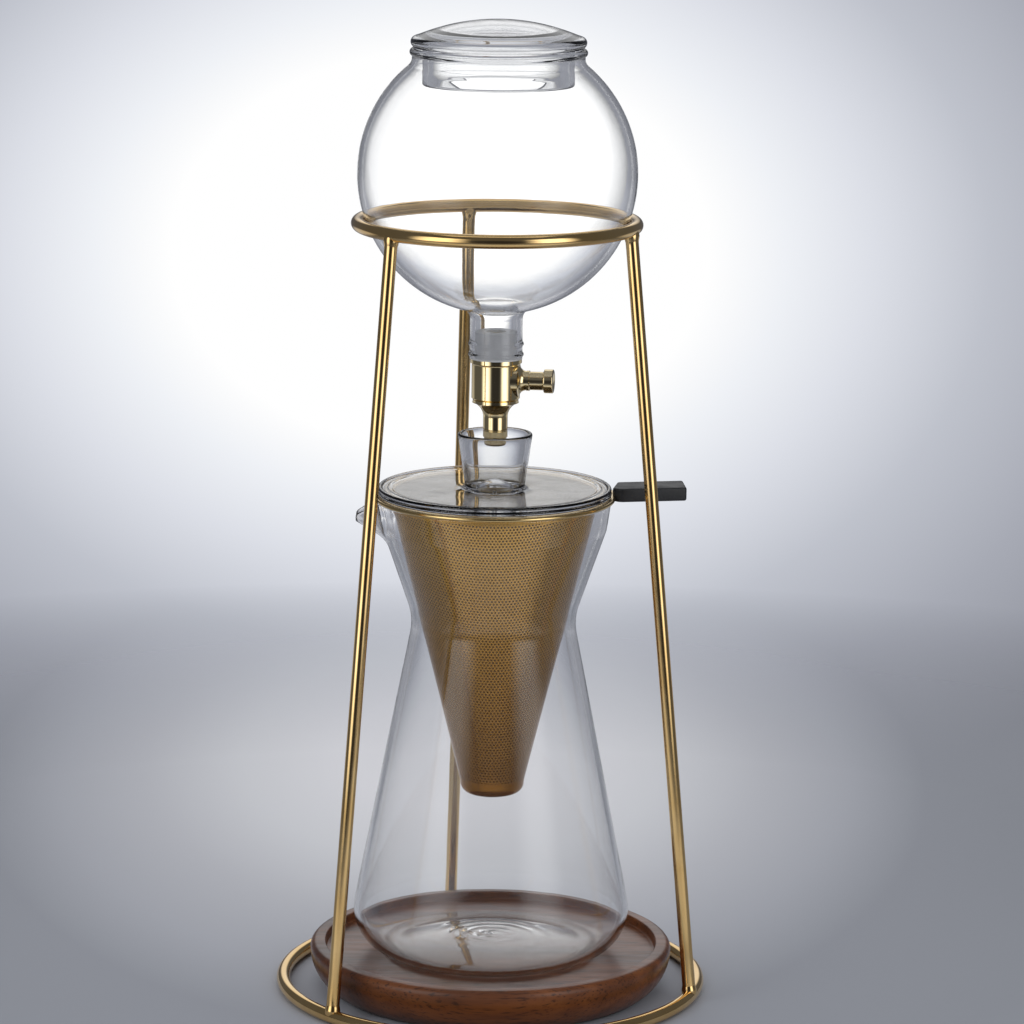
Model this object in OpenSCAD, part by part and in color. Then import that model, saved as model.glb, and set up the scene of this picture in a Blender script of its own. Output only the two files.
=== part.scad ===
// Cold drip coffee tower: wire stand, water bulb with needle valve, spreader lid,
// perforated cone filter, hourglass carafe and a turned wooden tray.
// Millimetres, +Z up. The origin is the base ring's centre on the table, the valve
// knob points to +X and the carafe's spout to -X. Each sub-part is one module.

/* [Wire stand] */
// Radius of the base ring, to the middle of its wire
base_ring_r = 92; // [80:1:110]
// Diameter of the wire of both rings
rod_d = 6; // [4:0.5:8]
// Diameter of the wire of the three legs
leg_d = 5.6; // [4:0.1:7.5]
// How far below the bulb's middle the top ring touches it, in degrees
seat_angle = 19.6; // [12:0.1:40]
// Height of the middle of the top ring
top_ring_z = 340; // [320:1:380]
// Direction of the first leg, and the legs stand a third of a turn apart
leg_angle = -17.7; // [-40:0.1:20]

/* [Wooden tray] */
// Gap between the tray and the base ring around it
tray_gap = 9; // [3:0.5:16]
// Height of the rim above the table
tray_h = 20; // [16:0.5:30]
// Width of the rim around the recess that the carafe stands in
tray_rim_w = 6.9; // [4:0.1:12]
// Depth of the recess
recess_d = 4; // [2:0.5:8]
// Radius of the hollow curve down the tray's side
tray_side_r = 20; // [18:0.5:40]
// Rounding of the rim's outer edge
tray_edge_r = 3; // [1:0.25:4]

/* [Glass carafe] */
// Thickness of the carafe's glass
carafe_wall = 2.2; // [1.5:0.1:3]
// Thickness of the carafe's floor
carafe_floor = 3; // [2:0.1:5]
// Height of the carafe, from its foot to the rim
carafe_h = 203.5; // [190:0.5:230]
// Radius outside the waist
waist_r = 36.1; // [32:0.1:42]
// Height of the waist above the carafe's foot
waist_h = 148.5; // [130:0.5:170]
// Slope of the lower cone from upright, in degrees
lower_slope = 11.2; // [8:0.1:14]
// Slope of the upper cone from upright, in degrees
upper_slope = 19.1; // [15:0.1:24]
// Rounding outside the waist
waist_fillet = 26; // [10:1:40]
// Rounding of the foot
foot_r = 19; // [10:0.5:26]
// Height of the short steep collar under the rim
collar_h = 13; // [8:0.5:20]
// Slope of that collar from upright, in degrees
collar_slope = 8; // [4:0.5:14]
// Radius of the hollow under the foot
punt_r = 40; // [25:1:44]
// Depth of the hollow under the foot
punt_d = 4; // [1:0.5:8]
// Reach of the spout's tip from the carafe's middle
spout_reach = 60.5; // [56:0.5:70]
// Radius outside the spout's tip
spout_tip_r = 4.2; // [3:0.1:7]
// Half angle of the spout's funnel, in degrees
spout_slope = 29.4; // [20:0.5:36]
// Drop of the spout's middle line below the rim
spout_drop = 6.5; // [4:0.5:10]
// Drop of the spout's open tip below the rim
spout_tip_drop = 7; // [3:0.5:12]

/* [Cone filter] */
// Thickness of the perforated outer sheet
shell_wall = 0.8; // [0.5:0.1:1.2]
// Thickness of the fine inner lining
mesh_wall = 0.6; // [0.4:0.1:1]
// Slope of the filter cone from upright, in degrees
filter_slope = 13.9; // [10:0.1:18]
// Gap between the cone and the carafe's rim
filter_gap = 3.2; // [1:0.1:6]
// Height of the cone, from its closed end to the flange
filter_h = 132.3; // [100:0.5:150]
// Height of the plain cup at the cone's end
end_cup_h = 5.6; // [4:0.1:12]
// Rounding of the closed end
end_round = 4.8; // [2:0.1:5.4]
// Thickness of the flange and of the handle's tang
flange_t = 1; // [0.8:0.1:1.5]
// Reach of the flange over the carafe's rim
flange_over = 1.8; // [1.2:0.1:4]
// Radius of the rolled edge itself
flange_bead = 0.9; // [0.5:0.1:1.5]

/* [Filter handle] */
// Direction of the handle
handle_angle = 10; // [-15:1:30]
// Gap between the flange's edge and the grip
grip_gap = 0.3; // [0.2:0.1:3]
// Length of the grip
grip_l = 30.8; // [20:0.1:60]
// Width of the grip
grip_w = 17; // [12:0.5:24]
// Thickness of the grip
grip_t = 6; // [4:0.1:9]
// Width of the metal tang inside the grip
tang_w = 10; // [6:0.5:14]
// Length of the tang inside the grip
tang_in = 20; // [10:0.5:26]

/* [Spreader lid] */
// How far the lid's edge stays inside the filter's flange
lid_inset = 1.4; // [0.5:0.1:3]
// Thickness of the lid's plate
lid_plate_t = 2.4; // [1.8:0.1:4]
// Radius of the lid's rolled edge
lid_bead = 1.9; // [1.3:0.1:2.5]
// Radius outside the cup's mouth
cup_top_r = 16.2; // [14:0.1:22]
// Radius outside the cup's foot
cup_foot_r = 12.9; // [11:0.1:16]
// Height of the cup above the plate
cup_h = 24.4; // [16:0.1:30]
// Thickness of the cup's glass
cup_wall = 1.9; // [1.4:0.1:2.4]
// Radius of the dome in the cup's floor
dome_r = 8.4; // [5:0.1:9]
// Height of that dome above the plate
dome_h = 4.2; // [2:0.1:6]
// Drip holes in the cup's floor
drip_holes = 6; // [3:1:12]
// Diameter of each drip hole
drip_hole_d = 1.6; // [1:0.1:2]

/* [Water bulb] */
// Radius outside the bulb
bulb_r = 60.4; // [58:0.1:66]
// Thickness of the bulb's glass
bulb_wall = 1.8; // [1.4:0.1:2.6]
// Radius outside the filling neck
mouth_r = 37.2; // [30:0.1:42]
// Radius of the bead around the filling neck's mouth
mouth_bead = 1.7; // [1.2:0.1:2.4]
// Straight height of the filling neck above the bulb's shoulder
mouth_h = 4.4; // [3:0.1:12]
// Radius outside the lower neck
neck_r = 11.4; // [10:0.1:15]
// Length of the lower neck below the bulb's round
neck_l = 20; // [14:0.5:30]
// Thickness of the lower neck's glass
neck_wall = 2.2; // [1.6:0.1:3]
// Radius of the two thin beads round the lower neck
neck_bead = 1.1; // [0.8:0.1:1.5]
// Rounding where both necks meet the bulb
shoulder_r = 4; // [2:0.5:6]

/* [Bulb lid] */
// Reach of the lid's rolled edge over the filling neck
cap_over = 0.6; // [0:0.1:2]
// Radius of the rolled edge itself
cap_bead = 2.5; // [1.8:0.1:3]
// Rise of the domed top over the rolled edge
cap_rise = 7.2; // [3:0.1:12]
// Thickness of the lid's glass
cap_wall = 2; // [1.5:0.1:3]
// Gap round the skirt that hangs in the neck
skirt_gap = 2.8; // [1:0.1:4]
// Depth of the skirt below the rolled edge
skirt_l = 18.8; // [10:0.1:26]

/* [Needle valve] */
// Height of the silicone plug in the neck
plug_h = 11.1; // [8:0.1:16]
// Thickness of the plug's flange under the neck
plug_flange = 0.8; // [0.6:0.1:2]
// How far the inlet's flange stays inside the neck's outside
inlet_inset = 0.1; // [0:0.05:0.6]
// Thickness of the inlet's flange
inlet_t = 2.6; // [2:0.1:4]
// Radius of the inlet's spigot in the plug
spigot_r = 4.5; // [3.5:0.1:6]
// How far the spigot ends below the plug's top
spigot_in = 1.2; // [0.4:0.1:3]
// Radius of the water passage above the needle
inlet_bore = 1.5; // [1:0.1:1.8]
// Radius of the water passage below the needle
outlet_bore = 1.2; // [0.8:0.1:1.6]
// Radius of the valve's body
body_r = 10.5; // [9:0.1:12]
// Height of the valve's body
body_h = 15.4; // [14:0.1:20]
// Height of the knob's axis above the body's foot
arm_h = 8.6; // [7.5:0.1:10]
// Direction of the knob
arm_angle = -8; // [-30:1:30]
// Reach of the boss beyond the valve's body
boss_out = 3.1; // [2:0.1:5]
// Radius of the boss at its end
boss_r = 4.2; // [4:0.1:5]
// Hollow rounding between body and boss
boss_fillet = 3.4; // [2:0.1:4]
// Thickness of the gland nut's collar
gland_t = 1.2; // [1:0.1:2]
// Radius of the gland nut's collar
gland_r = 4.4; // [4:0.1:5.5]
// Radius of the needle stem
stem_r = 1.95; // [1.8:0.05:2]
// Length of the needle's cone
needle_l = 1.8; // [1:0.1:2.5]
// Thickness of the stem's sealing ring
seal_d = 1.2; // [1:0.1:1.3]
// Radius of the knob's neck
knob_neck_r = 4; // [3:0.1:4.8]
// Length of the knob's neck
knob_neck_l = 5.6; // [3:0.1:9]
// Radius of the knob's head
knob_r = 5.2; // [4.6:0.1:8]
// Length of the knob's head
knob_l = 4.1; // [3:0.1:8]
// Radius of the drip tube
tube_r = 5.35; // [4.5:0.05:6]
// Length of the drip tube below its hollow cone
tube_l = 12.5; // [8:0.1:24]
// Radius of the hollow curve between the body and the drip tube
cone_r = 6.6; // [4:0.1:9]
// Step between the body and the hollow cone under it
cone_step = 0.35; // [0.2:0.05:1]

/* [Fits] */
// Gap between loose pieces that rest on each other
rest_gap = 0.3; // [0.2:0.05:0.5]
// Running clearance round the needle stem
run_gap = 0.05; // [0.02:0.01:0.1]

/* [Hidden] */
$fn = 96;
e = 0.01;
nip = 0.02;                                         // keeps hollow fillets off a bare tangent
rod_r = rod_d / 2;

// Radii and heights that follow from the sizes above
seat_r = bulb_r + rod_r + rest_gap;                 // bulb's middle to the ring wire's middle
top_ring_r = seat_r * cos(seat_angle);
tray_r = base_ring_r - rod_r - tray_gap;
recess_r = tray_r - tray_rim_w;
foot_z = tray_h - recess_d;                         // carafe's foot on the recess floor
rim_z = foot_z + carafe_h;                          // carafe's rim
flange_z = rim_z + rest_gap;                        // underside of the filter's flange
lid_z = flange_z + flange_t + rest_gap + lid_bead;  // middle of the spreader lid's edge
plate_z = lid_z + lid_bead * 0.6;                   // top of the spreader lid's plate

// The bulb sits in the top ring with the rest gap measured square to both surfaces
bulb_z = top_ring_z + seat_r * sin(seat_angle);
// Filling neck: its fillet ends where the straight part starts
mouth_fz = bulb_z + sqrt(pow(bulb_r + shoulder_r, 2) - pow(mouth_r + shoulder_r, 2));
bead_r = mouth_r + 1 - mouth_bead;                  // middle of the mouth's bead
bead_z = mouth_fz + mouth_h - mouth_bead;
cap_r = mouth_r + cap_over;
cap_bead_r = cap_r - cap_bead;                      // middle of the lid's rolled edge
skirt_r = mouth_r - bulb_wall - skirt_gap;
cap_z = bead_z + sqrt(pow(cap_bead + mouth_bead + rest_gap, 2) - pow(cap_bead_r - bead_r, 2));
cap_ball = (pow(cap_bead_r, 2) + pow(cap_rise, 2)) / (2 * cap_rise);
cap_top = cap_z + cap_bead + cap_rise;
// Lower neck: its fillet starts the straight part
neck_fz = bulb_z - sqrt(pow(bulb_r + shoulder_r, 2) - pow(neck_r + shoulder_r, 2));
neck_z = bulb_z - sqrt(pow(bulb_r, 2) - pow(neck_r, 2)) - neck_l;
plug_r = neck_r - neck_wall;
inlet_r = neck_r - inlet_inset;
boss_l = body_r + boss_out;
inlet_z = neck_z - plug_flange;                     // top of the inlet's flange
spigot_z = neck_z + plug_h - spigot_in;             // end of the inlet's spigot
body_top = inlet_z - inlet_t;
body_z = body_top - body_h;                         // foot of the valve's body
arm_z = body_z + arm_h;
thread_r = 6;                                       // inlet's thread in the body
thread_l = 3;
nozzle_thread_r = 5;
stem_bore = stem_r + run_gap;
needle_x = -inlet_bore - 0.1;                       // full radius of the stem ends past the bore
seal_r = stem_r - seal_d * 0.42 + seal_d / 2;       // middle of the sealing ring
chamber_r = seal_r + seal_d / 2 + run_gap;
chamber_l = 3.7;                                    // sealing ring's chamber in the boss
chamber_x = boss_l - chamber_l;
seal_x = chamber_x + seal_d / 2 + 0.2;
gland_in = 0.6;                                     // gland nut's spigot in the boss
gland_in_r = chamber_r + 0.5;
knob_x = boss_l + gland_t + rest_gap;
head_x = knob_x + knob_neck_l + 0.5;
cone_top = body_z - 1;                              // below the nozzle's plain edge
cone_z = cone_top - cone_r;
tip_z = cone_z - tube_l;

// ---------- helpers ----------
module at_arm(x = 0) {
    translate([0, 0, arm_z]) rotate([0, 0, arm_angle]) rotate([0, 90, 0]) translate([0, 0, x]) children();
}

module ring(big, small, z) {
    translate([0, 0, z]) rotate_extrude() translate([big, 0]) circle(small);
}

module disc(r, z0, z1) {
    translate([0, 0, z0]) cylinder(r = r, h = z1 - z0);
}

// ---------- wire stand ----------
module base_wire() { ring(base_ring_r, rod_r, rod_r); }
module top_wire() { ring(top_ring_r, rod_r, top_ring_z); }

module leg(turn) {
    run = base_ring_r - top_ring_r;
    rise = top_ring_z - rod_r;
    rotate([0, 0, leg_angle + turn]) difference() {
        translate([base_ring_r, 0, rod_r]) rotate([0, -atan(run / rise), 0])
            cylinder(d = min(leg_d, rod_d - 0.2), h = sqrt(run * run + rise * rise));
        rotate([0, 0, 150]) base_wire();
        rotate([0, 0, 150]) top_wire();
    }
}

gold = [0.86, 0.68, 0.36];
glass = [0.82, 0.88, 0.92, 0.45];

module base_ring() { color(gold) base_wire(); }
module top_ring() { color(gold) top_wire(); }
module leg_right() { color(gold) leg(0); }
module leg_rear() { color(gold) leg(120); }
module leg_left() { color(gold) leg(240); }

// ---------- wooden tray ----------
module wood_tray() {
    edge_z = tray_h - tray_edge_r;
    color([0.36, 0.2, 0.13]) rotate_extrude() difference() {
        union() {
            intersection() {
                translate([tray_r - tray_side_r, edge_z]) circle(tray_side_r);
                square([tray_r, edge_z]);
            }
            square([tray_r - tray_side_r, edge_z]);
            translate([tray_r - tray_edge_r, edge_z]) circle(tray_edge_r);
            translate([0, edge_z - e]) square([tray_r - tray_edge_r, tray_edge_r + e]);
        }
        translate([0, foot_z]) square([recess_r, recess_d + 1]);
    }
}

// ---------- glass carafe ----------
// Half profile of the carafe, moved in by t from the outside
module carafe_half(t) {
    ta = tan(lower_slope);
    tb = tan(upper_slope);
    fr = foot_r - t;
    foot_x = vee_r + ta * (vee_z - foot_z - foot_r) - foot_r / cos(lower_slope);
    u = t * (1 / cos(upper_slope) - 1 / cos(lower_slope)) / (ta + tb);
    vr = vee_r - t / cos(lower_slope) - ta * u;
    vz = vee_z + u;
    kz = rim_z - collar_h;
    kr = vee_r + tb * (kz - vee_z) - t / cos(upper_slope);
    top_r = kr + (collar_h + e) * tan(collar_slope);
    fw = waist_fillet + t;
    intersection() {
        union() {
            polygon([[0, foot_z + t], [foot_x, foot_z + t],
                [foot_x + fr * cos(lower_slope), foot_z + foot_r + fr * sin(lower_slope)],
                [vr, vz], [kr, kz], [top_r, rim_z + e], [0, rim_z + e]]);
            translate([foot_x, foot_z + foot_r]) circle(fr);
            // rounded waist: the vee is filled up to a circle that touches both slopes
            difference() {
                polygon([[vr - 3, vz],
                    waist_c - (fw + 1) * [cos(lower_slope), sin(lower_slope)], waist_c,
                    waist_c - (fw + 1) * [cos(upper_slope), -sin(upper_slope)]]);
                translate(waist_c) circle(fw + nip);
            }
        }
        square([200, rim_z + 10]);
    }
}
// The circle touches both slopes at the same distance from the sharp vee
vee_turn = (upper_slope - lower_slope) / 2;
vee_out = waist_fillet / cos((lower_slope + upper_slope) / 2);
vee_r = waist_r + waist_fillet - vee_out * cos(vee_turn);
vee_z = foot_z + waist_h + vee_out * sin(vee_turn);
waist_c = [vee_r + vee_out * cos(vee_turn), vee_z - vee_out * sin(vee_turn)];
lip_r = carafe_wall / 2 + 0.05;              // the polished rim is a touch thicker than the wall
rim_out = vee_r + tan(upper_slope) * (rim_z - collar_h - vee_z) + (collar_h - lip_r) * tan(collar_slope);
rim_mid = rim_out - carafe_wall / 2;
// What rests on the carafe follows its rim
filter_top_r = rim_out - carafe_wall - filter_gap;
flange_r = rim_out + flange_over;
grip_start = flange_r + grip_gap;
lid_r = flange_r - lid_inset;

module spout_cone(t) {
    back = 38;
    far = spout_reach + (t > 0 ? 2 : 0);
    s = tan(spout_slope);
    rt = spout_tip_r - t;
    translate([-back, 0, rim_z - spout_drop]) rotate([0, -90, 0]) rotate([0, 0, 50])
        cylinder(r1 = rt + s * (spout_reach - back), r2 = rt - s * (far - spout_reach), h = far - back);
}

module carafe() {
    punt_ball = (punt_r * punt_r + punt_d * punt_d) / (2 * punt_d);
    tip_fall = atan(spout_tip_drop / (spout_reach - rim_mid));
    spout_wall = carafe_wall * 0.8;
    mouth_half = sqrt(pow(spout_tip_r - spout_wall + tan(spout_slope) * (spout_reach - rim_mid), 2)
        - pow(spout_drop - 2.3, 2));
    color(glass) difference() {
        union() {
            rotate_extrude() difference() {
                union() {
                    intersection() { carafe_half(0); square([200, rim_z - lip_r]); }
                    translate([rim_mid, rim_z - lip_r]) circle(lip_r);
                }
                // hollow under the foot
                translate([0, foot_z + punt_d - punt_ball]) circle(punt_ball);
            }
            difference() {
                spout_cone(0);
                // the open top falls from the rim to the tip
                translate([-rim_mid, 0, rim_z - 1.3]) rotate([0, -tip_fall, 0])
                    translate([-60, -60, 0]) cube([120, 120, 60]);
            }
        }
        rotate_extrude() difference() {
            union() {
                carafe_half(carafe_wall);
                translate([0, rim_z - 5]) square([rim_mid - carafe_wall / 2, 20]);
            }
            square([200, foot_z + carafe_floor]);
            translate([0, foot_z + punt_d - punt_ball]) circle(punt_ball + carafe_floor);
        }
        union() {
            spout_cone(spout_wall);
            // the spout opens the rim's bead
            translate([-rim_mid - 20, -mouth_half, rim_z - 2.3]) cube([25, 2 * mouth_half, 30]);
        }
    }
}

// ---------- cone filter ----------
end_z = flange_z - filter_h;                 // closed end of the filter
cup_z = end_z + end_cup_h;                   // top edge of the end cup
function cone_at(z, t) = filter_top_r - tan(filter_slope) * (flange_z - z) - t / cos(filter_slope);

module cone_sheet(t0, t1, z0, z1) {
    rotate_extrude() polygon([[cone_at(z0, t1), z0], [cone_at(z0, t0), z0],
        [cone_at(z1, t0), z1], [cone_at(z1, t1), z1]]);
}

module filter_shell() {
    color([0.72, 0.55, 0.28]) cone_sheet(0, shell_wall, cup_z, flange_z);
}

module filter_mesh() {
    color([0.55, 0.42, 0.22]) cone_sheet(shell_wall, shell_wall + mesh_wall, cup_z, flange_z);
}

module filter_base() {
    wall = shell_wall + mesh_wall;
    r = cone_at(cup_z, 0);
    color([0.72, 0.55, 0.28]) rotate_extrude() difference() {
        union() {
            translate([0, end_z]) square([r - end_round, end_cup_h]);
            translate([0, end_z + end_round]) square([r, end_cup_h - end_round]);
            intersection() {
                translate([r - end_round, end_z + end_round]) circle(end_round);
                translate([0, end_z]) square([r, end_round]);
            }
        }
        translate([0, end_z + wall]) square([r - end_round, end_cup_h]);
        translate([0, end_z + end_round]) square([r - wall, end_cup_h]);
        translate([r - end_round, end_z + end_round]) circle(end_round - wall);
    }
}

module filter_rim() {
    wall = shell_wall + mesh_wall;
    inner = cone_at(flange_z, wall);
    color([0.78, 0.6, 0.3]) rotate_extrude() difference() {
        union() {
            translate([inner, flange_z]) square([flange_r - flange_bead - inner, flange_t]);
            translate([flange_r - flange_bead, flange_z + flange_t - flange_bead]) circle(flange_bead);
        }
        translate([inner, flange_z - 2 * flange_bead]) square([rim_clear - inner, 2 * flange_bead]);
    }
}
// The bead clears the carafe's rim below the flange
rim_clear = flange_r - 2 * flange_bead;

module tang_shape(gap) {
    start = flange_r - flange_bead / 2;
    rotate([0, 0, handle_angle]) translate([start, -tang_w / 2 - gap, flange_z - gap])
        cube([grip_start + tang_in - start + gap, tang_w + 2 * gap, flange_t + 2 * gap]);
}

module handle_tang() {
    color([0.78, 0.6, 0.3]) difference() {
        tang_shape(0);
        ring(flange_r - flange_bead, flange_bead, flange_z + flange_t - flange_bead);
        disc(flange_r - flange_bead, flange_z - 1, flange_z + flange_t + 1);
    }
}

module handle_grip() {
    mid = flange_z + flange_t / 2 + 0.5;
    nose = 3.2;
    tail = 2.2;
    side = [[0, 1.2 - grip_t / 2 + 2.2], [nose + 1.4, -grip_t / 2], [grip_l - tail, -grip_t / 2],
        [grip_l, -grip_t / 6], [grip_l, grip_t / 6], [grip_l - tail, grip_t / 2],
        [1.4, grip_t / 2], [0, grip_t / 2 - 1.4]];
    corner = 3.5;
    color([0.06, 0.06, 0.07]) difference() {
        rotate([0, 0, handle_angle]) translate([grip_start, 0, mid]) intersection() {
            rotate([90, 0, 0]) translate([0, 0, -grip_w / 2]) linear_extrude(grip_w) polygon(side);
            translate([0, 0, -grip_t]) linear_extrude(2 * grip_t) union() {
                translate([0, -grip_w / 2]) square([grip_l - corner, grip_w]);
                translate([0, corner - grip_w / 2]) square([grip_l, grip_w - 2 * corner]);
                for (s = [-1, 1]) translate([grip_l - corner, s * (grip_w / 2 - corner)]) circle(corner);
            }
        }
        tang_shape(0);
        // moulded thumb dish
        rotate([0, 0, handle_angle]) translate([grip_start + grip_l * 0.55, 0, mid + grip_t / 2 + 39.4])
            sphere(r = 40);
    }
}

// ---------- spreader lid ----------
module dripper_lid() {
    ball = (dome_r * dome_r + dome_h * dome_h) / (2 * dome_h);
    ball_z = plate_z + dome_h - ball;
    slope = atan((cup_top_r - cup_foot_r) / cup_h);
    lip = cup_wall / 2;
    mouth_z = plate_z + cup_h - lip;
    lip_x = cup_top_r - lip / cos(slope);
    foot_in = cup_foot_r - cup_wall / cos(slope);
    color(glass) difference() {
        rotate_extrude() difference() {
            union() {
                translate([0, plate_z - lid_plate_t]) square([lid_r - lid_bead, lid_plate_t]);
                translate([lid_r - lid_bead, lid_z]) circle(lid_bead);
                polygon([[foot_in, plate_z - e], [cup_foot_r, plate_z - e],
                    [lip_x + lip * cos(slope), mouth_z - lip * sin(slope)],
                    [lip_x - lip * cos(slope), mouth_z + lip * sin(slope)]]);
                translate([lip_x, mouth_z]) circle(lip);
                intersection() {
                    translate([0, ball_z]) circle(ball);
                    translate([0, plate_z - lid_plate_t]) square([dome_r + 1, lid_plate_t + dome_h + 1]);
                }
                // hollow foot round the cup
                difference() {
                    translate([cup_foot_r - e, plate_z - e]) square([2, 2]);
                    translate([cup_foot_r + 2, plate_z + 2]) circle(2);
                }
            }
            // the dome is hollow from below
            intersection() {
                translate([0, ball_z]) circle(ball - cup_wall);
                translate([0, plate_z - lid_plate_t - 1]) square([dome_r + 1, dome_h + lid_plate_t + 1]);
            }
        }
        for (k = [0 : 1 : drip_holes - 1])
            rotate([0, 0, 360 * (k + 0.5) / drip_holes])
                translate([(dome_r + foot_in) / 2, 0, plate_z - lid_plate_t - 1])
                    cylinder(d = drip_hole_d, h = lid_plate_t + 2, $fn = 24);
    }
}

// ---------- water bulb ----------
module water_bulb() {
    bead_low = neck_z + neck_bead;
    bead_high = bead_low + 4.6;
    in_r = bulb_r - 1;                              // fillets run a little way into the glass
    st = (mouth_r + shoulder_r) / (bulb_r + shoulder_r);
    sn = (neck_r + shoulder_r) / (bulb_r + shoulder_r);
    color(glass) rotate_extrude() difference() {
        union() {
            intersection() {
                translate([0, bulb_z]) circle(bulb_r);
                translate([0, bulb_z - bulb_r - 1]) square([bulb_r + 1, 2 * bulb_r + 2]);
            }
            // filling neck with its rolled mouth
            difference() {
                polygon([[0, bulb_z], [in_r * st, bulb_z + in_r * sqrt(1 - st * st)],
                    [mouth_r + shoulder_r, mouth_fz], [mouth_r, mouth_fz], [mouth_r, bead_z], [0, bead_z]]);
                translate([mouth_r + shoulder_r, mouth_fz]) circle(shoulder_r + nip);
            }
            translate([bead_r, bead_z]) circle(mouth_bead);
            // lower neck with two thin beads
            difference() {
                polygon([[0, bulb_z], [0, bead_low], [neck_r, bead_low], [neck_r, neck_fz],
                    [neck_r + shoulder_r, neck_fz], [in_r * sn, bulb_z - in_r * sqrt(1 - sn * sn)]]);
                translate([neck_r + shoulder_r, neck_fz]) circle(shoulder_r + nip);
            }
            for (z = [bead_low, bead_high]) translate([neck_r + 0.6 - neck_bead, z]) circle(neck_bead);
        }
        translate([0, bulb_z]) circle(bulb_r - bulb_wall);
        translate([0, bulb_z]) square([mouth_r - bulb_wall, 80]);
        translate([0, neck_z - 1]) square([plug_r, bulb_z - neck_z]);
    }
}

module bulb_lid() {
    foot = cap_z + cap_bead - skirt_l - 2.5;
    inner = skirt_r - cap_wall;
    color(glass) rotate_extrude() difference() {
        union() {
            intersection() {
                translate([0, cap_top - cap_ball]) circle(cap_ball);
                translate([0, cap_z - 0.8]) square([cap_bead_r, cap_rise + cap_bead + 1]);
            }
            translate([cap_bead_r, cap_z]) circle(cap_bead);
            translate([0, foot + cap_wall / 2]) square([skirt_r, skirt_l]);
            translate([skirt_r - cap_wall / 2, foot + cap_wall / 2]) circle(cap_wall / 2);
        }
        intersection() {
            translate([0, cap_top - cap_ball]) circle(cap_ball - cap_wall);
            translate([0, foot - 1]) square([inner, 60]);
        }
    }
}

// ---------- needle valve ----------
module valve_plug() {
    color([0.88, 0.88, 0.86, 0.7]) difference() {
        union() {
            disc(plug_r, inlet_z, neck_z + plug_h);
            disc(neck_r, inlet_z, neck_z);
        }
        disc(spigot_r, inlet_z - 1, neck_z + plug_h + 1);
    }
}

module inlet_fitting() {
    color(gold) difference() {
        union() {
            rotate_extrude() difference() {
                translate([0, body_top]) square([inlet_r, inlet_t]);
                // turned groove under the flange's edge
                translate([inlet_r, body_top]) circle(0.9);
            }
            disc(spigot_r, inlet_z - e, spigot_z);
            disc(thread_r, body_top - thread_l, body_top + e);
        }
        disc(inlet_bore, body_top - thread_l - 1, spigot_z + 1);
        // funnel at the spigot's mouth
        translate([0, 0, spigot_z - 2]) cylinder(r1 = inlet_bore, r2 = spigot_r - 0.6, h = 2 + e);
    }
}

module valve_body() {
    color(gold) difference() {
        union() {
            rotate_extrude() difference() {
                translate([0, body_z]) square([body_r, body_h]);
                translate([body_r, body_z]) rotate(45) square(1.1, center = true);
            }
            intersection() {
                at_arm() rotate_extrude() {
                    square([boss_r, boss_l]);
                    difference() {
                        square([boss_r + boss_fillet, boss_l]);
                        translate([boss_r + boss_fillet, boss_l]) circle(boss_fillet);
                        translate([0, boss_l - e]) square([20, 1]);
                    }
                }
                disc(2 * boss_l, body_z, body_top);
            }
        }
        disc(thread_r, body_top - thread_l, body_top + 1);
        disc(inlet_bore, arm_z, body_top);
        disc(outlet_bore, body_z, arm_z);
        disc(nozzle_thread_r, body_z - 1, body_z + thread_l);
        // needle seat, stem bore, seal chamber and gland seat along the arm
        at_arm(needle_x) cylinder(r = stem_bore, h = 30);
        at_arm(needle_x - needle_l) cylinder(r1 = 0.3, r2 = stem_bore, h = needle_l + e);
        at_arm(chamber_x) cylinder(r = chamber_r, h = 30);
        at_arm(boss_l - gland_in) cylinder(r = gland_in_r, h = 30);
    }
}

module drip_nozzle() {
    groove = 0.35;
    color(gold) rotate_extrude() difference() {
        union() {
            translate([0, body_z]) square([nozzle_thread_r, thread_l]);
            translate([0, cone_top]) square([body_r - 0.55, body_z - cone_top]);
            difference() {
                translate([0, cone_z]) square([body_r - cone_step, cone_r + e]);
                translate([tube_r + cone_r, cone_z]) circle(cone_r);
            }
            translate([0, tip_z + 3.5]) square([tube_r, cone_z - tip_z - 3.5 + e]);
            // rounded drip tip
            translate([0, tip_z + 1]) square([tube_r - 0.45, 2.5]);
            translate([0, tip_z]) square([tube_r - 1.45, 2]);
            translate([tube_r - 1.45, tip_z + 1]) circle(1);
        }
        for (z = [tip_z + 6.6, tip_z + 3.5]) translate([tube_r + 0.1, z]) circle(groove);
        translate([0, tip_z - 1]) square([outlet_bore, body_z + thread_l - tip_z + 2]);
        polygon([[0, tip_z - 1], [outlet_bore + 2, tip_z - 1], [outlet_bore + 1.5, tip_z], [0, tip_z + 5.5]]);
    }
}

module gland_nut() {
    color(gold) at_arm(boss_l) difference() {
        union() {
            cylinder(r = gland_r, h = gland_t);
            translate([0, 0, -gland_in]) cylinder(r = gland_in_r, h = gland_in + e);
        }
        translate([0, 0, -gland_in - 1]) cylinder(r = stem_bore, h = gland_in + gland_t + 2);
    }
}

module stem_seal() {
    color([0.12, 0.12, 0.12]) at_arm(seal_x) rotate_extrude() translate([seal_r, 0]) circle(seal_d / 2);
}

module valve_stem() {
    color(gold) difference() {
        union() {
            at_arm(needle_x) cylinder(r = stem_r, h = head_x + knob_l - 1.2 - needle_x);
            at_arm(needle_x - needle_l + run_gap) cylinder(r1 = 0.3, r2 = stem_r, h = needle_l - run_gap + e);
        }
        at_arm(seal_x) rotate_extrude() translate([seal_r, 0]) circle(seal_d / 2 + run_gap);
    }
}

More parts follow.
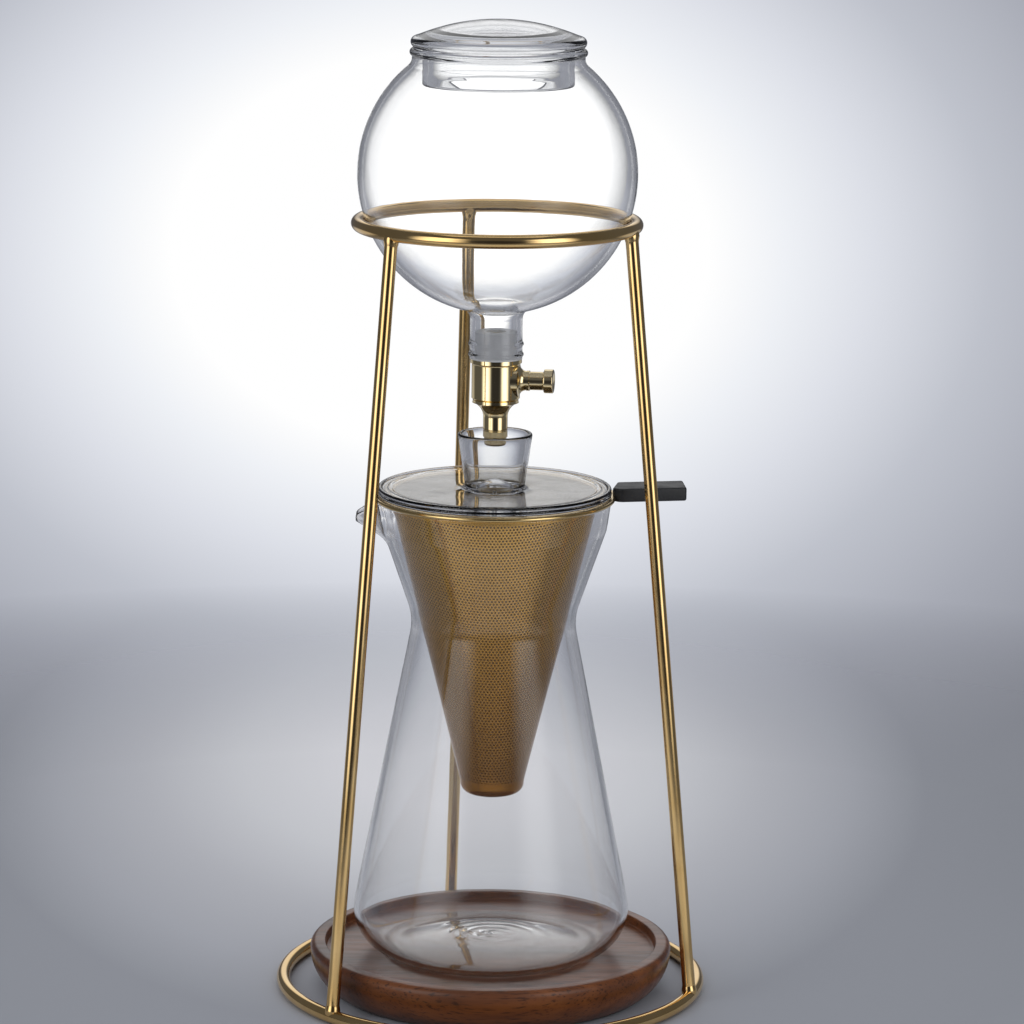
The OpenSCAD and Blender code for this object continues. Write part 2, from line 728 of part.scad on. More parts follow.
module valve_knob() {
    edge = 0.5;
    color(gold) at_arm() rotate_extrude() difference() {
        union() {
            translate([0, knob_x]) square([knob_neck_r, knob_neck_l]);
            translate([0, knob_x + knob_neck_l - e]) square([knob_neck_r - 0.5, 0.5 + 2 * e]);
            translate([0, head_x + edge]) square([knob_r, knob_l - 2 * edge]);
            translate([0, head_x]) square([knob_r - edge, knob_l]);
            for (z = [head_x + edge, head_x + knob_l - edge]) translate([knob_r - edge, z]) circle(edge);
        }
        translate([0, knob_x - 1]) square([stem_r, head_x + knob_l - 1.2 - knob_x + 1]);
        // shallow dish in the knob's face
        translate([0, head_x + knob_l + 11.4]) circle(12);
    }
}

base_ring();
top_ring();
leg_right();
leg_rear();
leg_left();
wood_tray();
carafe();
filter_shell();
filter_mesh();
filter_base();
filter_rim();
handle_tang();
handle_grip();
dripper_lid();
water_bulb();
bulb_lid();
valve_plug();
inlet_fitting();
valve_body();
drip_nozzle();
gland_nut();
stem_seal();
valve_stem();
valve_knob();
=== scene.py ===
# %% [markdown]
# # A cold drip coffee tower
# Water runs from a glass bulb through a needle valve, drop by drop, into a cone of ground coffee
# that hangs in a glass carafe. A gilt wire stand holds the bulb, and the carafe stands on a walnut
# tray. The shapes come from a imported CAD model, the frame, in metres with +Z up. This lesson keeps
# the pieces that are right as they are, makes new ones where glass or metal needs a finer form,
# and gives each one a material that is built from nodes.

# %% Load the frame
import math
import bpy
from mathutils import Vector, Matrix


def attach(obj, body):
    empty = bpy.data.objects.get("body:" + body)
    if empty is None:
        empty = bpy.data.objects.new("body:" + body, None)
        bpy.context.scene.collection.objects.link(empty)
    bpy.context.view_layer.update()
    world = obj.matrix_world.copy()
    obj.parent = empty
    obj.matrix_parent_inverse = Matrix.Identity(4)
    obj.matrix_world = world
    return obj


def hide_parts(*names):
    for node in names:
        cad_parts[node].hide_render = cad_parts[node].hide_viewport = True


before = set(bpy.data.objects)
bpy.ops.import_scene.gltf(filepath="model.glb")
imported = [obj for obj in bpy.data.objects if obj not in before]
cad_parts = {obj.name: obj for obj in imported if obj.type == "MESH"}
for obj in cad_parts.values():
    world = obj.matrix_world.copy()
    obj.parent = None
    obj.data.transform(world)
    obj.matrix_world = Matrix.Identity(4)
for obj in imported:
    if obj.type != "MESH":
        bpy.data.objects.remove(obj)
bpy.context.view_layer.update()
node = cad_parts
scene = bpy.context.scene

# %% [markdown]
# ## The camera
# A long lens stands almost two metres away and looks slightly down. Its place was worked out from
# the rings in the photograph: how wide and how flat each ellipse is says how far and how high the
# camera was. The picture is 1024 pixels square, and the lens length follows from its focal length
# in pixels and the 36 mm sensor.

# %% Set up the camera
PICTURE = 1024
FOCAL_PX = 4331.5
EYE = Vector((0, -1.85325, 0.58026))
YAW, PITCH, ROLL = (math.radians(a) for a in (0.2356, 11.197, 0.5812))


def camera_matrix():
    ahead = Vector((math.sin(YAW) * math.cos(PITCH), math.cos(YAW) * math.cos(PITCH), -math.sin(PITCH)))
    level = Vector((math.cos(YAW), -math.sin(YAW), 0))
    upright = level.cross(ahead)
    right = math.cos(ROLL) * level + math.sin(ROLL) * upright
    up = math.cos(ROLL) * upright - math.sin(ROLL) * level
    turn = Matrix((right, up, -ahead)).transposed().to_4x4()
    return Matrix.Translation(EYE) @ turn


bpy.ops.object.camera_add()
camera = bpy.context.object
camera.name = "camera"
camera.data.sensor_width = 36
camera.data.lens = FOCAL_PX / PICTURE * 36
camera.data.clip_start, camera.data.clip_end = 0.05, 60
camera.matrix_world = camera_matrix()
scene.camera = camera
print("lens", round(camera.data.lens, 2), "mm")

# %% [markdown]
# ## A small kit for materials
# Every finish here is a Principled shader with a few nodes in front of it. These helpers add a
# node, set its sockets and join it up, so that each material below reads like a recipe. Patterns
# use Object coordinates: a piece's own metres, which stay with it when it moves.


# %% Helpers for node materials
def new_material(name):
    made = bpy.data.materials.new(name)
    made.use_nodes = True
    shader = made.node_tree.nodes["Principled BSDF"]
    return made, shader


def add(material, kind, **settings):
    made = material.node_tree.nodes.new(kind)
    for key, value in settings.items():
        if hasattr(made, key):
            setattr(made, key, value)
        else:
            made.inputs[key.replace("_", " ")].default_value = value
    return made


def join(material, source, target):
    material.node_tree.links.new(source, target)


def set_all(shader, **values):
    for key, value in values.items():
        shader.inputs[key.replace("_", " ")].default_value = value


def place(material):
    return add(material, "ShaderNodeTexCoord").outputs["Object"]


def feed(material, made, values):
    """Fills a node's first inputs; each value is a number, a vector or another node's output."""
    for socket, value in zip(made.inputs, values):
        if isinstance(value, bpy.types.NodeSocket):
            join(material, value, socket)
        else:
            socket.default_value = value


def math_node(material, operation, *values):
    made = add(material, "ShaderNodeMath", operation=operation)
    feed(material, made, values)
    return made.outputs["Value"]


def vector_node(material, operation, *values):
    made = add(material, "ShaderNodeVectorMath", operation=operation)
    feed(material, made, values)
    return made.outputs["Value" if operation in ("LENGTH", "DOT_PRODUCT") else "Vector"]


def axes_of(material):
    """The X, Y and Z of each point, in the piece's own metres."""
    made = add(material, "ShaderNodeSeparateXYZ")
    join(material, place(material), made.inputs["Vector"])
    return made.outputs


def noise(material, scale, detail=2.0, stretch=(1, 1, 1)):
    """A soft noise over the piece, scale counted per metre, pressed together along each axis."""
    made = add(material, "ShaderNodeTexNoise", Scale=scale, Detail=detail)
    join(material, vector_node(material, "MULTIPLY", place(material), stretch), made.inputs["Vector"])
    return made.outputs["Fac"]


def spread(material, source, low, high, to_low, to_high):
    """Stretches the part of a value between low and high over a new range."""
    made = add(material, "ShaderNodeMapRange", From_Min=low, From_Max=high, To_Min=to_low, To_Max=to_high)
    join(material, source, made.inputs["Value"])
    return made.outputs["Result"]


def ramp(material, source, *stops):
    """A colour ramp from (position, colour) stops."""
    made = add(material, "ShaderNodeValToRGB")
    elements = made.color_ramp.elements
    elements[0].position, elements[0].color = stops[0][0], (*stops[0][1], 1)
    elements[1].position, elements[1].color = stops[-1][0], (*stops[-1][1], 1)
    for position, colour in stops[1:-1]:
        elements.new(position).color = (*colour, 1)
    join(material, source, made.inputs["Fac"])
    return made.outputs["Color"]


def blend(material, share, first, second):
    """Mixes two colours; each is a triple or another node's output."""
    made = add(material, "ShaderNodeMix", data_type="RGBA")
    for name, value in (("A", first), ("B", second)):
        socket = [s for s in made.inputs if s.name == name and s.type == "RGBA"][0]
        if isinstance(value, bpy.types.NodeSocket):
            join(material, value, socket)
        else:
            socket.default_value = (*value, 1)
    join(material, share, made.inputs["Factor"])
    return [s for s in made.outputs if s.type == "RGBA"][0]


def bump(material, shader, height, strength, distance):
    made = add(material, "ShaderNodeBump", Strength=strength, Distance=distance)
    join(material, height, made.inputs["Height"])
    join(material, made.outputs["Normal"], shader.inputs["Normal"])
    return made


def mix_surfaces(material, share, first, second):
    """Shows the first shader where share is 0 and the second where it is 1."""
    made = add(material, "ShaderNodeMixShader")
    join(material, share, made.inputs["Fac"])
    join(material, first.outputs["BSDF"], made.inputs[1])
    join(material, second.outputs["BSDF"], made.inputs[2])
    join(material, made.outputs["Shader"], material.node_tree.nodes["Material Output"].inputs["Surface"])


def dress(material, *names):
    """Gives one finish to nodes of the frame that are kept as they are."""
    for name in names:
        slots = node[name].data.materials
        slots.clear()
        slots.append(material)


# %% [markdown]
# ## Gilt and brass
# The stand is steel wire with a thin polished gilt plating, the valve is turned brass with the same
# bright finish, and the filter is satin gilt sheet. Drawn or turned metal isn't a perfect mirror:
# cloudy patches change its polish, fine streaks blur it a little, and thin spots show a darker tone.


# %% Make the gilt and brass finishes
def gilt_material(name, colour, dull, roughness, streak=0.0, stretch=(1, 1, 1)):
    """A metal of this colour, with the dull tone in its thin spots and streaks of this strength."""
    made, shader = new_material(name)
    cloud = noise(made, 45.0, 4.0)
    tone = blend(made, spread(made, cloud, 0.35, 0.7, 0.0, 1.0), dull, colour)
    join(made, tone, shader.inputs["Base Color"])
    join(made, spread(made, noise(made, 160.0, 3.0), 0.3, 0.7, roughness * 0.8, roughness * 1.3),
         shader.inputs["Roughness"])
    set_all(shader, Metallic=1.0)
    if streak:
        bump(made, shader, noise(made, 700.0, 3.0, stretch), streak, 0.0001)
    return made, shader


gilt_wire = gilt_material("gilt_wire", (0.85, 0.60, 0.28), (0.76, 0.50, 0.20), 0.10, 0.02, (1, 1, 0.05))[0]
polished_brass = gilt_material("polished_brass", (0.91, 0.76, 0.46), (0.85, 0.68, 0.37), 0.055, 0.02)[0]
dress(polished_brass, "inlet_fitting", "valve_body", "drip_nozzle", "gland_nut", "valve_stem", "valve_knob")

# %% [markdown]
# ## The perforated sheet
# The filter's cone is thin gilt sheet with fine holes, 1.5 mm apart, laid out in triangles on the
# flat blank before it was rolled up. The pattern is drawn the same way: the cone is unrolled in the
# shader, and two shifted grids of dots over the flat sheet make the triangles. The holes are not cut:
# each is a dark dot of painted shade. The plating is thin and a little matt, so it mixes a metal's
# mirror with plain colour, and painted shade darkens the sheet towards its tip.
# The lining behind it is a fine weave, which is two waves in its bump, one up the cone and one round it.

# %% Unroll the cone and punch the holes
CONE_APEX = 0.0364
CONE_SLOPE = math.radians(13.9)
CONE_TOP_R = 0.0454
HOLE_PITCH = 0.0015
HOLE_EDGE = (0.24, 0.34)
FIRST_ROW, LAST_ROW = 0.0945, 0.2165
# Heights between which the painted shade at the cone's tip fades out.
TIP, SHADE_END = 0.0875, 0.205
ROOT3 = math.sqrt(3)


def punched(material, first_row, last_row):
    """1 inside each hole and 0 on the sheet between, between two heights."""
    x, y, z = axes_of(material)
    along = math_node(material, "DIVIDE", math_node(material, "SUBTRACT", z, CONE_APEX), math.cos(CONE_SLOPE))
    front = math_node(material, "MULTIPLY", y, -1.0)
    turn = math_node(material, "MULTIPLY", math_node(material, "ARCTAN2", x, front), math.sin(CONE_SLOPE))
    across = math_node(material, "MULTIPLY", along, math_node(material, "SINE", turn))
    down = math_node(material, "MULTIPLY", along, math_node(material, "COSINE", turn))
    flat = add(material, "ShaderNodeCombineXYZ")
    feed(material, flat, (across, down))
    per_metre = (1 / HOLE_PITCH, 1 / HOLE_PITCH / ROOT3, 0)
    cell = vector_node(material, "MULTIPLY", flat.outputs["Vector"], per_metre)
    away = []
    for shift in ((0, 0, 0), (0.5, 0.5, 0)):
        part = vector_node(material, "FRACTION", vector_node(material, "ADD", cell, shift))
        part = vector_node(material, "SUBTRACT", part, (0.5, 0.5, 0))
        away.append(vector_node(material, "LENGTH", vector_node(material, "MULTIPLY", part, (1, ROOT3, 0))))
    near = math_node(material, "MINIMUM", *away)
    hole = spread(material, near, *HOLE_EDGE, 1.0, 0.0)
    inside = math_node(material, "MULTIPLY", math_node(material, "GREATER_THAN", z, first_row),
                       math_node(material, "LESS_THAN", z, last_row))
    return math_node(material, "MULTIPLY", hole, inside)


# %% Make the filter's sheet, its plain trim and its lining
gilt_sheet, sheet_shader = gilt_material("gilt_sheet", (0.68, 0.395, 0.085), (0.58, 0.32, 0.06), 0.15)
hole = punched(gilt_sheet, FIRST_ROW, LAST_ROW)
# Painted shade: the sheet's colour is darkened and browned towards its tip.
painted_tip_shade = ramp(gilt_sheet, spread(gilt_sheet, axes_of(gilt_sheet)["Z"], TIP, SHADE_END, 0.0, 1.0),
               (0.0, (0.56, 0.42, 0.28)), (0.5, (0.68, 0.60, 0.48)), (1.0, (1.0, 1.0, 1.0)))
base = sheet_shader.inputs["Base Color"]
tone = vector_node(gilt_sheet, "MULTIPLY", base.links[0].from_socket, painted_tip_shade)
# Painted shade: each hole is a near-black dot on the sheet, not cut through it.
join(gilt_sheet, blend(gilt_sheet, hole, tone, (0.05, 0.025, 0.008)), base)
join(gilt_sheet, spread(gilt_sheet, hole, 0.0, 1.0, 0.8, 0.3), sheet_shader.inputs["Metallic"])
bump(gilt_sheet, sheet_shader, math_node(gilt_sheet, "MULTIPLY", hole, -1.0), 0.35, 0.00012)

gilt_trim = gilt_material("gilt_trim", (0.78, 0.58, 0.27), (0.70, 0.50, 0.22), 0.16, 0.06)[0]
dress(gilt_trim, "filter_rim", "handle_tang")

gilt_mesh, mesh_shader = gilt_material("gilt_mesh", (0.50, 0.40, 0.24), (0.42, 0.33, 0.19), 0.45)
WAVES_UP, WAVES_ROUND = 9000.0, 420.0
x, y, z = axes_of(gilt_mesh)
warp = math_node(gilt_mesh, "SINE", math_node(gilt_mesh, "MULTIPLY", z, WAVES_UP))
angle = math_node(gilt_mesh, "ARCTAN2", x, y)
weft = math_node(gilt_mesh, "SINE", math_node(gilt_mesh, "MULTIPLY", angle, WAVES_ROUND))
bump(gilt_mesh, mesh_shader, math_node(gilt_mesh, "ADD", warp, weft), 0.5, 0.0001)
set_all(mesh_shader, Metallic=0.6)
dress(gilt_mesh, "filter_mesh")
print("holes per ring at the top", round(2 * math.pi * CONE_TOP_R / HOLE_PITCH))

# %% [markdown]
# ## Clear glass
# Laboratory glass is hard, clear and almost colourless. It needs real walls with an inside and an
# outside, so that light bends at both, and a refraction index of 1.47. Blown glass is never quite
# even: a slow, shallow noise in the bump gives its reflections their slight waver. Glass also lets
# most light through to what stands behind it, so shadow rays pass it with only a faint tint. The
# carafe's heavier glass mirrors the studio more strongly than the thin bulb, and so has more gloss.
# The spreader is pressed in a mould, which leaves its surface wavier and its glass a little grey.


# %% Make the clear glass
def glass_material(name, gloss, waver, tint=(0.998, 1.0, 1.0, 1)):
    made, shader = new_material(name)
    set_all(shader, Transmission_Weight=1.0, Roughness=0.0, IOR=1.47)
    set_all(shader, Specular_IOR_Level=gloss, Base_Color=tint)
    bump(made, shader, noise(made, 38.0, 2.0), waver, 0.0006)
    through = add(made, "ShaderNodeBsdfTransparent", Color=(0.90, 0.905, 0.91, 1))
    mix_surfaces(made, add(made, "ShaderNodeLightPath").outputs["Is Shadow Ray"], shader, through)
    return made


thin_glass = glass_material("thin_glass", 0.40, 0.12)
heavy_glass = glass_material("heavy_glass", 0.90, 0.12)
pressed_glass = glass_material("pressed_glass", 0.75, 0.20, (0.90, 0.905, 0.91, 1))

# %% [markdown]
# ## Silicone, rubber and the moulded grip
# The plug is cloudy silicone that lets light in but shows nothing behind it. The grip is black
# moulded plastic with a fine spark-eroded grain, a little greyer in patches where hands have rubbed it.

# %% Make the silicone and the rubber
silicone, silicone_shader = new_material("silicone")
milky = ramp(silicone, noise(silicone, 90.0, 3.0), (0.3, (0.50, 0.51, 0.53)), (0.7, (0.62, 0.63, 0.65)))
join(silicone, milky, silicone_shader.inputs["Base Color"])
set_all(silicone_shader, Transmission_Weight=0.35, Roughness=0.42, IOR=1.41)
bump(silicone, silicone_shader, noise(silicone, 300.0), 0.1, 0.0002)
dress(silicone, "valve_plug")

seal_rubber, seal_shader = new_material("seal_rubber")
grime = noise(seal_rubber, 400.0)
sooty = ramp(seal_rubber, grime, (0.3, (0.015, 0.015, 0.015)), (0.7, (0.03, 0.03, 0.03)))
join(seal_rubber, sooty, seal_shader.inputs["Base Color"])
set_all(seal_shader, Roughness=0.6)
dress(seal_rubber, "stem_seal")

# %% Make the black grip
black_grip, grip_shader = new_material("black_grip")
wear = spread(black_grip, noise(black_grip, 120.0, 4.0), 0.35, 0.75, 0.0, 1.0)
rubbed = ramp(black_grip, wear, (0.0, (0.007, 0.0075, 0.009)), (1.0, (0.016, 0.0165, 0.020)))
join(black_grip, rubbed, grip_shader.inputs["Base Color"])
join(black_grip, spread(black_grip, wear, 0.0, 1.0, 0.42, 0.55), grip_shader.inputs["Roughness"])
round_edge = add(black_grip, "ShaderNodeBevel", samples=6, Radius=0.0009)
grain = bump(black_grip, grip_shader, noise(black_grip, 5200.0, 2.0), 0.35, 0.00006)
join(black_grip, round_edge.outputs["Normal"], grain.inputs["Normal"])

# %% [markdown]
# ## Oiled walnut
# The tray is turned from one board, so its grain runs straight across it, along X. Wide soft bands
# give the growth rings, thin dark dashes give the pores, and both are noises that are stretched
# along the grain. A light oil finish gives a satin sheen that the pores break up.

# %% Make the walnut
walnut, walnut_shader = new_material("walnut")
bands = noise(walnut, 34.0, 5.0, (0.16, 1.0, 1.6))
heart = ramp(walnut, bands, (0.30, (0.038, 0.0105, 0.0035)), (0.45, (0.092, 0.027, 0.007)),
             (0.58, (0.160, 0.049, 0.012)), (0.72, (0.062, 0.0175, 0.0055)))
pores = spread(walnut, noise(walnut, 1100.0, 2.0, (0.10, 1.0, 1.0)), 0.54, 0.68, 0.0, 0.7)
join(walnut, blend(walnut, pores, heart, (0.016, 0.005, 0.002)), walnut_shader.inputs["Base Color"])
satin = spread(walnut, noise(walnut, 260.0, 3.0, (0.2, 1, 1)), 0.3, 0.7, 0.36, 0.50)
join(walnut, satin, walnut_shader.inputs["Roughness"])
set_all(walnut_shader, Specular_IOR_Level=0.25, Coat_Weight=0.7, Coat_IOR=1.3, Coat_Roughness=0.26)
bump(walnut, walnut_shader, math_node(walnut, "MULTIPLY", pores, -1.0), 0.35, 0.0001)

# %% [markdown]
# ## Turned and blown pieces
# Almost everything here is round: glass that was blown and spun, a tray from the lathe, bent wire.
# Each piece starts as one point, is extruded along half of its outline, in millimetres as (radius,
# height), and is spun round the tower's axis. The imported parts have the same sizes; these have finer
# curves and the soft edges that a flame or a cutter leaves, which glass and polish show at once.

# %% Helpers for outlines
MM = 0.001
FINE = 0.2
TOUCHING = 0.000004


def arc(centre, radius, start, end, step=3.0):
    """Points along a part of a circle, between two angles in degrees, at most a step apart."""
    turns = max(2, math.ceil(abs(end - start) / step))
    angles = [math.radians(start + (end - start) * k / turns) for k in range(turns + 1)]
    return [(centre[0] + radius * math.cos(a), centre[1] + radius * math.sin(a)) for a in angles]


def evenly(outline, gap, above=-1.0):
    """The same line, with a point at least every gap millimetres where it is higher than above."""
    points = [outline[0]]
    for (r0, z0), (r1, z1) in zip(outline, outline[1:]):
        count = max(1, math.ceil(math.hypot(r1 - r0, z1 - z0) / gap)) if max(z0, z1) > above else 1
        points += [(r0 + (r1 - r0) * k / count, z0 + (z1 - z0) * k / count) for k in range(1, count + 1)]
    return points


def soften(outline, reach=0.5):
    """Rounds an outline as a flame does: every point moves to the mean of its near part."""
    fine = evenly(outline, FINE)
    half = max(1, round(2 * reach / FINE))
    weights = [math.exp(-0.5 * (k * FINE / reach) ** 2) for k in range(-half, half + 1)]
    made = []
    for i in range(len(fine)):
        span = min(half, i, len(fine) - 1 - i)
        near = list(zip(weights[half - span:half + span + 1], fine[i - span:i + span + 1]))
        total = sum(w for w, _ in near)
        made.append((sum(w * p[0] for w, p in near) / total, sum(w * p[1] for w, p in near) / total))
    return [fine[0]] + made[1:-1] + [fine[-1]]


def thin_out(points, bend=4.0, gap=2.5):
    """Drops points where the line hardly turns, so that curves keep more of them."""
    kept = [points[0]]
    turned = 0.0
    for before, here, after in zip(points, points[1:], points[2:]):
        a = math.atan2(here[1] - before[1], here[0] - before[0])
        b = math.atan2(after[1] - here[1], after[0] - here[0])
        turned += abs((b - a + math.pi) % (2 * math.pi) - math.pi)
        away = math.hypot(here[0] - kept[-1][0], here[1] - kept[-1][1])
        if turned > math.radians(bend) and away > 0.1 or away > gap:
            kept.append(here)
            turned = 0.0
    return kept + [points[-1]]


# %% A pen and a lathe for outlines
def draw(name, outline, lying=False):
    """A line of points in edit mode, upright in X and Z, or lying in X and Y."""
    bpy.ops.object.select_all(action="DESELECT")
    bpy.ops.mesh.primitive_plane_add(size=0.001)
    piece = bpy.context.object
    piece.name = name
    bpy.ops.object.mode_set(mode="EDIT")
    bpy.ops.mesh.merge(type="CENTER")
    start = (0, 0)
    for here in outline:
        along, across = ((b - a) * MM for a, b in zip(start, here))
        step = {"value": (along, across, 0) if lying else (along, 0, across)}
        if here is outline[0]:
            bpy.ops.transform.translate(**step)
        else:
            bpy.ops.mesh.extrude_vertices_move(TRANSFORM_OT_translate=step)
        start = here
    bpy.ops.mesh.select_all(action="SELECT")
    return piece


def lathe(name, outline, steps):
    """Spins an outline once round the tower's axis and joins where it meets itself."""
    piece = draw(name, outline)
    bpy.ops.mesh.spin(steps=steps, angle=2 * math.pi, center=(0, 0, 0), axis=(0, 0, 1))
    bpy.ops.mesh.select_all(action="SELECT")
    bpy.ops.mesh.remove_doubles(threshold=TOUCHING)
    bpy.ops.mesh.normals_make_consistent(inside=False)
    bpy.ops.object.mode_set(mode="OBJECT")
    bpy.ops.object.shade_smooth()
    return piece


def stands_for(piece, material, slot, body, *nodes):
    """Puts a made piece in the place of nodes of the frame, on the body that carries them."""
    piece.data.materials.append(material)
    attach(piece, body)
    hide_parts(*nodes)
    size = [round(v / MM, 1) for v in piece.dimensions]
    print(piece.name, len(piece.data.vertices), "points", size, "mm")


# %% [markdown]
# ## The wire stand
# Two hoops and three legs of gilt wire. A hoop is a small circle of outline that is spun. A leg is
# turned upright, a little thicker at both ends where the weld runs into the hoop, and then leant
# inwards from the lower hoop to the upper one.

# %% Bend the hoops and stand up the legs
BASE_R, TOP_R, WIRE_R, TOP_Z = 92, 60.009, 3, 340
BEARINGS = {"leg_right": -17.7, "leg_rear": 102.3, "leg_left": 222.3}
hoops = (("base_hoop", BASE_R, WIRE_R, "base_ring"), ("top_hoop", TOP_R, TOP_Z, "top_ring"))
for name, radius, height, ring in hoops:
    hoop = lathe(name, arc((radius, height), WIRE_R, 0, 360, 9), 240)
    stands_for(hoop, gilt_wire, "gilt_wire", "stand", ring)

run, rise = BASE_R - TOP_R, TOP_Z - WIRE_R
length = math.hypot(run, rise)
WELD = [(0, 0.4), (3.0, 0.5), (3.35, 1.6), (3.4, 2.8), (3.15, 3.9), (2.86, 5.0), (2.8, 6.2)]
line = WELD + [(r, length - z) for r, z in reversed(WELD)]
for name, bearing in BEARINGS.items():
    bar = lathe("wire_" + name, thin_out(soften(line, 0.4), 6, 14), 48)
    lean = Matrix.Rotation(-math.atan(run / rise), 4, "Y")
    out = Matrix.Translation((BASE_R * MM, 0, WIRE_R * MM))
    bar.data.transform(Matrix.Rotation(math.radians(bearing), 4, "Z") @ out @ lean)
    stands_for(bar, gilt_wire, "gilt_wire", "stand", name)

# %% [markdown]
# ## The turned tray
# A walnut disc with a full, rounded side, a soft rim and a shallow recess for the carafe.

# %% Turn the tray
TRAY_R, TRAY_TALL, SIDE_ROUND, RIM_ROUND = 80, 20, 20, 3
RECESS_R, RECESS_Z = 73.1, 16
rim_z = TRAY_TALL - RIM_ROUND
line = [(0, 0.05), (70.2, 0.05)] + arc((TRAY_R - SIDE_ROUND, rim_z), SIDE_ROUND, -56, -2)
line += arc((TRAY_R - RIM_ROUND, rim_z), RIM_ROUND, 0, 90) + [(73.5, TRAY_TALL)]
line += [(RECESS_R, 19.4), (RECESS_R, 16.5), (72.6, RECESS_Z), (0, RECESS_Z)]
tray = lathe("turned_tray", thin_out(soften(line, 0.4), 6, 6), 192)
stands_for(tray, walnut, "walnut", "stand", "wood_tray")

# %% [markdown]
# ## The carafe
# An hourglass with an even wall, a hollow under its foot and a pulled spout. Spinning the foot
# leaves faint, broken rings in the floor. The spout is made as a glassblower does it, by pulling the
# rim out: the columns of points are first crowded towards -X, and then moved out to a funnel that
# lies on its side, as far as that funnel reaches past the wall, with a soft change between the two.

# %% Draw the carafe's outline
WALL, FLOOR = 2.2, 3
HOLLOW_Z, HOLLOW_R, HOLLOW_EDGE = -182, 202, 40
FOOT, FOOT_R = (41.87, 35), 19
WAIST, WAIST_R = (62.1, 164.5), 26
LEAN_BELOW, LEAN_ABOVE = 11.2, 19.1
SHOULDER_R, SHOULDER_Z = 49.13, 206.5
RIM, RIM_R, RIM_TOP = (49.694, 218.35), 1.15, 219.5
RIPPLE_REACH, RIPPLE_DEPTH = 30, 0.28
hollow = math.degrees(math.asin(HOLLOW_EDGE / HOLLOW_R))
waist_low, waist_high = 180 + LEAN_BELOW, 180 - LEAN_ABOVE


def rippled(points):
    """Rings in the floor that die away outwards."""
    return [(r, z + RIPPLE_DEPTH * math.cos(r * 0.9) * max(0.0, 1 - r / RIPPLE_REACH) ** 0.5)
            for r, z in points]


line = arc((0, HOLLOW_Z), HOLLOW_R, 90, 90 - hollow, 0.5) + arc(FOOT, FOOT_R, -90, LEAN_BELOW)
line += arc(WAIST, WAIST_R, waist_low, waist_high) + [(SHOULDER_R, SHOULDER_Z)]
line += arc(RIM, RIM_R, 0, 180) + [(48.47, 217.4), (46.8, 206.4)]
line += arc(WAIST, WAIST_R + WALL, waist_high, waist_low)
line += arc(FOOT, FOOT_R - WALL, LEAN_BELOW, -72.2) + [(46.9, 19.0)]
line += rippled(arc((0, HOLLOW_Z), HOLLOW_R + FLOOR, 90 - hollow - 0.1, 90, 0.3))
outline = evenly(thin_out(soften(line), 4, 2.4), 1.2, above=188)
print("outline of", len(outline), "points")

# %% Work out the spout
SPOUT_X, SPOUT_Z, SPOUT_R = 60.5, 213.0, 3.4
SLOPE = math.tan(math.radians(29.4))
LIP_X, LIP_Z, LIP_FALL = 49.7, 218.2, 0.528


def funnel(bearing, z, tip):
    """How far out the funnel reaches, along a bearing from -X and at a height."""
    a, h = tip + SLOPE * SPOUT_X, z - SPOUT_Z
    s, c = math.sin(bearing), math.cos(bearing)
    p, q, k = s * s - (SLOPE * c) ** 2, a * SLOPE * c, h * h - a * a
    inside = q * q - p * k
    if inside < 0:
        return 0.0
    root = (-q + math.sqrt(inside)) / p if abs(p) > 1e-9 else -k / (2 * q)
    return min(root, SPOUT_X / c) if 0 < root else SPOUT_X / c


def larger(a, b, soft):
    """The larger of two values, with a soft change where they are nearly the same."""
    h = max(soft - abs(a - b), 0) / soft
    return max(a, b) + h * h * soft / 4


edge = [(math.radians(18), RIM_TOP), (math.radians(14), 219.1)]
for k in range(13):
    x = LIP_X + (SPOUT_X - LIP_X) * k / 12
    z = LIP_Z - LIP_FALL * (x - LIP_X)
    half = SPOUT_R + SLOPE * (SPOUT_X - x)
    edge.append((math.atan2(math.sqrt(half ** 2 - (z - SPOUT_Z) ** 2), x), z))
for k in range(1, 9):
    a = math.radians(-8 + 98 * k / 8)
    edge.append((math.atan2(SPOUT_R * math.cos(a), SPOUT_X), SPOUT_Z - SPOUT_R * math.sin(a)))
edge.sort()


def rim_height(bearing):
    """How high the rim stands, along a bearing from -X."""
    for (b0, z0), (b1, z1) in zip(edge, edge[1:]):
        if b0 <= bearing <= b1:
            return z0 + (z1 - z0) * (bearing - b0) / max(b1 - b0, 1e-6)
    return RIM_TOP


# %% Spin the carafe and pull its spout
carafe = lathe("blown_carafe", outline, 200)
PULL_START, PULL_WIDTH, CROWDING = 186.0, math.radians(60), 0.72
WALL_LEVEL, FLARE = 2.33, 0.1405
FUNNEL_IN, FUNNEL_OUT, FUNNEL_BLEND, THINNEST = 2.44, 4.2, 5, 1.6
SMOOTH_ABOVE, SMOOTH_WIDTH = 0.198, math.radians(24)


def wall(z, outside):
    """Radius of the plain wall at a height above the waist's rounding."""
    if z < SHOULDER_Z:
        slant = SHOULDER_R - (SHOULDER_Z - z) * math.tan(math.radians(LEAN_ABOVE))
    else:
        slant = SHOULDER_R + (z - SHOULDER_Z) * FLARE
    return slant if outside else slant - WALL_LEVEL


def broken_ripple(x, y, z):
    """Height of a point of the floor, with its rings broken up round the axis."""
    r = math.hypot(x, y)
    even = math.sqrt((HOLLOW_R + FLOOR) ** 2 - r * r) + HOLLOW_Z
    return even + (z - even) * (0.35 + 0.65 * math.cos(math.atan2(y, x) + 0.14 * r + 2.0))


